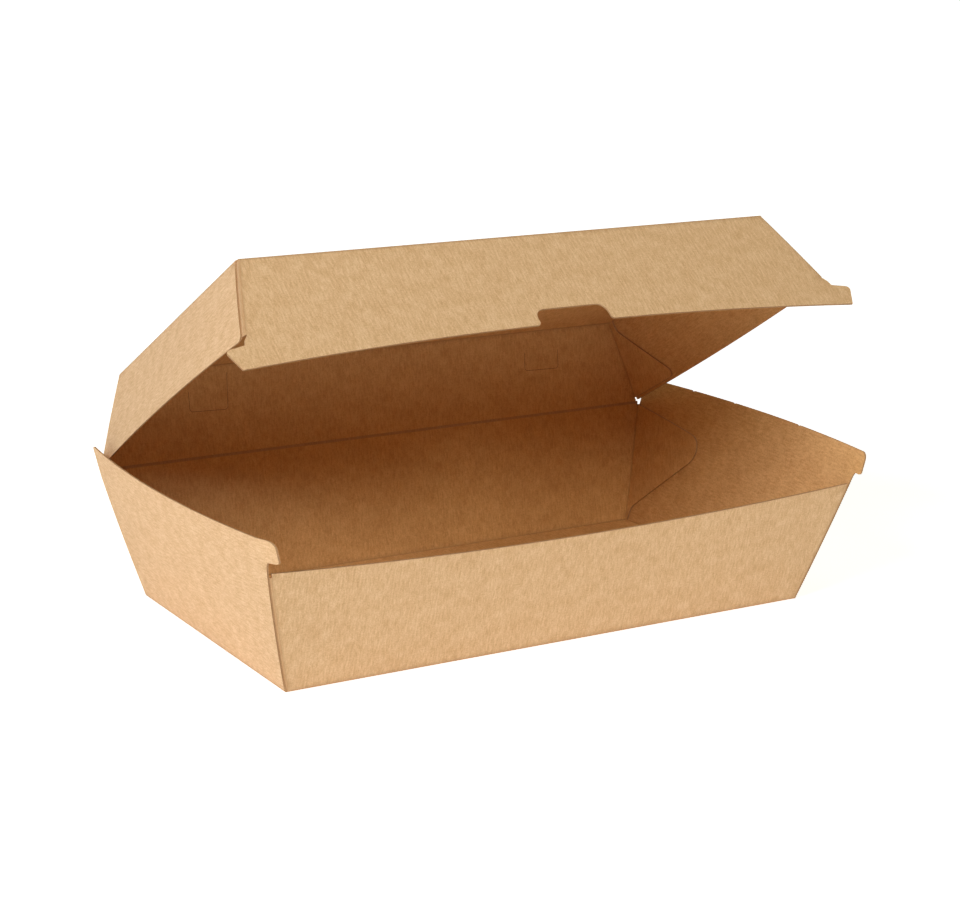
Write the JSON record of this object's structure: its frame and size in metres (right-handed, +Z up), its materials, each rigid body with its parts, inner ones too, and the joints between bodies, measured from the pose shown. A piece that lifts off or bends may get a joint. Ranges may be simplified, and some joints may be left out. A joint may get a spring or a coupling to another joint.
{
  "type": "takeaway box",
  "caption": "Folded micro-flute board food box: a flared tray with a hinged lid, front lock ears under the tray's hooks, and a thumb notch.",
  "frame": {"origin": "middle of the tray's flat underside", "axes": "+X along the length, -Y towards the front with the thumb notch, +Z up"},
  "size_m": [0.3122, 0.1777, 0.1688],
  "materials": {
    "tray_board": "matt brown kraft, uncoated",
    "lid_board": "matt brown kraft, uncoated"
  },
  "bodies": {
    "tray_body": {"tray": "tray_board"},
    "lid_body": {"lid": "lid_board"}
  },
  "joints": [
    {"name": "lid_hinge", "type": "hinge", "parent": "tray_body", "child": "lid_body", "pos_m": [0, 0.08225, 0.0557], "axis": [-1, 0, 0], "range_deg": [-32.5, 147.5]}
  ]
}
